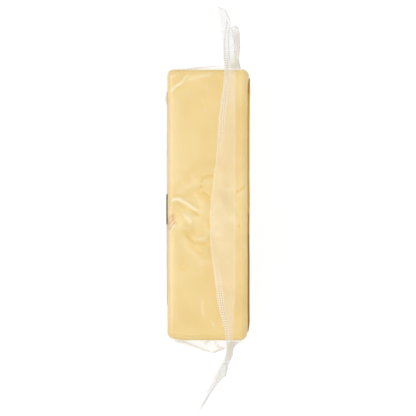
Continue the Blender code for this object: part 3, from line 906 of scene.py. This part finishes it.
start = new_material("sealed_film", flange)
inward = attribute(start, "inward")
across = attribute(start, "across")
run = attribute(start, "run")
fin = attribute(start, "fin")
lined = attribute(start, "lined")
layered = attribute(start, "layered")
risen = attribute(start, "risen")
upper = attribute(start, "upper")
foot = attribute(start, "foot")
in_band = across.step(0, BAND_EDGE) * (BAND_WIDTH - across).step(0, BAND_EDGE)
in_band = in_band * attribute(start, "pressed")
knurl = ((run + across) * turn).math("SINE") * ((run - across) * turn).math("SINE")
dots = knurl.step(0.1, -0.4) * in_band
gaps = knurl.step(-0.1, 0.3) * in_band
trimmed_edge = (TRIM_WIDTH - inward).step(0, 0.25 * mm)
pale = (trimmed_edge * 0.8 + attribute(start, "hinge") * 0.45 + dots).clamp()
haze = FLAP_HAZE + risen * RISEN_HAZE + pale * PRESSED_HAZE + gaps * GAP_HAZE
fin_haze = FIN_HAZE + lined * LINE_HAZE + layered * LAYER_HAZE + foot * FOOT_HAZE
haze = (haze + fin * fin_haze) * (DEEP_SHARE + upper * (1 - DEEP_SHARE))
tint = fin.mix(FLAP_TINT, FIN_TINT)
tint = (fin * foot * 0.8).mix(tint, FOOT_TINT)
tint = (fin * layered * 0.8).mix(tint, LAYER_TINT)
tint = (fin * lined).mix(tint, LINE_TINT)
tint = pale.mix(tint, PRESSED_TINT)
tint = (gaps * 0.8).mix(tint, GAP_TINT)
dimples = start.node("Bump", {"Height": knurl * in_band, "Strength": 0.4, "Distance": 0.06 * mm})
clear_film(start, haze, tint, SEALED_GLOSS, dimples)
flange.visible_shadow = False
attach(flange, "root")
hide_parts("film")
bpy.ops.object.select_all(action="DESELECT")


# The front label: glossy paper over one wide face, gold above and brown below, whose upper edge
# turns over onto the rounded edge of the block. It has plain fields and a blank oval, no words.

LABEL_LIFT = 0.085 * mm
PAPER = 0.12 * mm
CORNER_REACH = 5 * mm
CORNER_DROP = 1.8 * mm
LABEL_COLUMNS = 260
LABEL_ROWS = 150
FRONT_Y = (-50.8 * mm, 51.0 * mm)
FRONT_Z = (4.0 * mm, 59.1 * mm)
FRONT_BULGE = 0.05 * mm
LOOSE_BULGE = 0.10 * mm
LOOSE_FROM = 40 * mm
LOOSE_RISE = 6 * mm
# the print, in millimetres: Y or Z where a field begins and ends
BROWN_TO_GOLD = (-6.0, -2.0)
UPPER_BAND = (44.0, 45.5)
LOWER_BAND = (-12.0, -3.0)
OVAL_MIDDLE = (18.0, 30.0)
OVAL_HALF = (21.0, 17.0)
RING_RADIUS = 1.22
STRIPES = ((10.9, 13.1), (47.3, 48.7))
STRIPES_END = -14.0
GOLD = (0.66, 0.385, 0.045, 1)
DEEP_GOLD = (0.56, 0.22, 0.010, 1)
BROWN = (0.37, 0.160, 0.020, 1)
CREAM = (0.86, 0.76, 0.56, 1)


def make_label(name, side, y_range, z_range, bulge):
    """A sheet of paper that follows one wide face, and stands off it by the bulge."""
    bpy.ops.mesh.primitive_grid_add(x_subdivisions=LABEL_COLUMNS, y_subdivisions=LABEL_ROWS, size=1)
    label = bpy.context.object
    label.name = name
    flat = read_points(label) + 0.5
    length = y_range[1] - y_range[0]
    y = y_range[0] + flat[:, 0] * length
    from_end = np.minimum(flat[:, 0], 1 - flat[:, 0]) * length
    top = z_range[1] - CORNER_DROP * (1 - np.clip(from_end / CORNER_REACH, 0, 1)) ** 2
    z = z_range[0] + flat[:, 1] * (top - z_range[0])
    sharp = np.column_stack([np.full_like(y, side * half_block.x), y, z])
    points, facing = on_block(sharp, LABEL_LIFT)
    points += facing * (swells(points) + bulge(points, flat))[:, None]
    write_points(label, points)
    thick = label.modifiers.new("paper", "SOLIDIFY")
    thick.thickness = PAPER
    thick.offset = 0
    bpy.ops.object.modifier_apply(modifier="paper")
    bpy.ops.object.mode_set(mode="EDIT")
    bpy.ops.mesh.select_all(action="SELECT")
    bpy.ops.mesh.normals_make_consistent(inside=False)
    bpy.ops.object.mode_set(mode="OBJECT")
    bpy.ops.object.shade_smooth_by_angle(angle=math.radians(40))
    return label


def front_bulge(points, flat):
    """The paper has come a little loose at the far end of the block."""
    loose = smooth((points[:, 1] - LOOSE_FROM) / LOOSE_RISE) * smooth(flat[:, 1] * 2)
    return FRONT_BULGE + LOOSE_BULGE * loose


def print_place(start):
    """The Y and the Z of a point of the piece, in millimetres."""
    place = start.node("TexCoord", output=3)
    parts = [start.node("SeparateXYZ", {"Vector": place}, output=axis) for axis in (1, 2)]
    return [part * (1 / mm) for part in parts]


def between(value, low, high, soft=0.4):
    """1 between two values, eased off inside each of them."""
    return value.step(low, low + soft) * (high - value).step(0, soft)


front = make_label("front_label_paper", 1, FRONT_Y, FRONT_Z, front_bulge)
start = new_material("front_print", front)
y, z = print_place(start)
wobble = speckle(start, 60, 1.0) * 3.0
field = (y + wobble).step(*BROWN_TO_GOLD)
print_colour = field.mix(BROWN, GOLD)
bands = y.step(*UPPER_BAND) + between(y, *LOWER_BAND, 0.8)
print_colour = bands.clamp().mix(print_colour, DEEP_GOLD)
along_oval = (y - OVAL_MIDDLE[0]) * (1 / OVAL_HALF[0])
up_oval = (z - OVAL_MIDDLE[1]) * (1 / OVAL_HALF[1])
radius = along_oval**2 + up_oval**2
oval = (1.0 - radius).step(0.0, 0.05)
ring = (1.0 - (radius - RING_RADIUS).math("ABSOLUTE") * 12.0).step(0.0, 0.4)
print_colour = (oval + ring).clamp().mix(print_colour, CREAM)
for stripe in STRIPES:
    striped = between(z, *stripe, 0.2) * (STRIPES_END - y).step(0, 0.4)
    print_colour = striped.mix(print_colour, CREAM)
ink = speckle(start, 400, 2.0)
print_colour = (ink.step(0.3, 0.8) * 0.18).mix(print_colour, DEEP_GOLD)
sag = start.node("Bump", {"Height": speckle(start, 120, 2.0), "Strength": 0.3, "Distance": 0.3 * mm})
finish = start.node("BsdfPrincipled", {
    "Base Color": print_colour,
    "Roughness": 0.48 + 0.1 * ink,
    "Specular IOR Level": 0.05,
    "Normal": sag,
})
start.node("OutputMaterial", {"Surface": finish})
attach(front, "root")
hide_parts("front_label")
bpy.ops.object.select_all(action="DESELECT")


# The back label: white satin paper on the other wide face, with grey and dark bars in place of
# print. It bulges a little past the block along its upper part, where it shows as a pale edge.

BACK_Y = (-40.0 * mm, 46.0 * mm)
BACK_Z = (6.0 * mm, 58.4 * mm)
BACK_BULGE = 0.40 * mm
TENT_Y = 42.8 * mm
TENT_WIDTH = 2.4 * mm
TENT = 0.60 * mm
WHITE = (0.82, 0.80, 0.79, 1)
KRAFT = (0.74, 0.63, 0.47, 1)
GREY = (0.60, 0.56, 0.55, 1)
INK = (0.075, 0.050, 0.045, 1)
FIBRE = (0.70, 0.67, 0.64, 1)
# the print, in millimetres: Y or Z where a field begins and ends, and the pitch of its rows
KRAFT_BELOW = -7.5
KRAFT_ABOVE = 39.5
PANEL_Y = (8.0, 42.0)
PANEL_Z = (10.0, 46.0)
ROW_PITCH = 4.0
DARK_BLOCK = (-8.0, 4.6)
CODE_Y = (-33.0, -13.0)
CODE_Z = (14.0, 38.0)
BAR_PITCH = 2.6


def back_bulge(points, flat):
    """The paper stands off most just under the middle of its upper edge, and at the tented spot."""
    upper = smooth(flat[:, 1] * 2) * smooth((1 - flat[:, 1]) * 14)
    tented = bell(points[:, 1], TENT_Y, TENT_WIDTH)
    return (BACK_BULGE * np.sin(flat[:, 0] * math.pi) ** 0.6 + TENT * tented) * upper


back = make_label("back_label_paper", -1, BACK_Y, BACK_Z, back_bulge)
start = new_material("back_print", back)
y, z = print_place(start)
kraft = (KRAFT_BELOW - y).step(0, 1.0) + (y - KRAFT_ABOVE).step(0, 1.5)
print_colour = kraft.mix(WHITE, KRAFT)
rows = (z * (2 * math.pi / ROW_PITCH)).math("SINE").step(0.2, 0.5)
panel = between(y, *PANEL_Y) * between(z, *PANEL_Z)
print_colour = (panel * rows * 0.8).mix(print_colour, GREY)
print_colour = between(y, *DARK_BLOCK).mix(print_colour, INK)
bars = (y * (2 * math.pi / BAR_PITCH)).math("SINE").step(0.0, 0.2)
coded = between(y, *CODE_Y) * between(z, *CODE_Z)
print_colour = (coded * bars * 0.9).mix(print_colour, INK)
fibre = speckle(start, 500, 3.0)
print_colour = (fibre.step(0.3, 0.75) * 0.2).mix(print_colour, FIBRE)
sag = start.node("Bump", {"Height": speckle(start, 110, 2.0), "Strength": 0.3, "Distance": 0.3 * mm})
finish = start.node("BsdfPrincipled", {
    "Base Color": print_colour,
    "Roughness": 0.42 + 0.12 * fibre,
    "Normal": sag,
})
start.node("OutputMaterial", {"Surface": finish})
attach(back, "root")
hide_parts("back_label")
bpy.ops.object.select_all(action="DESELECT")
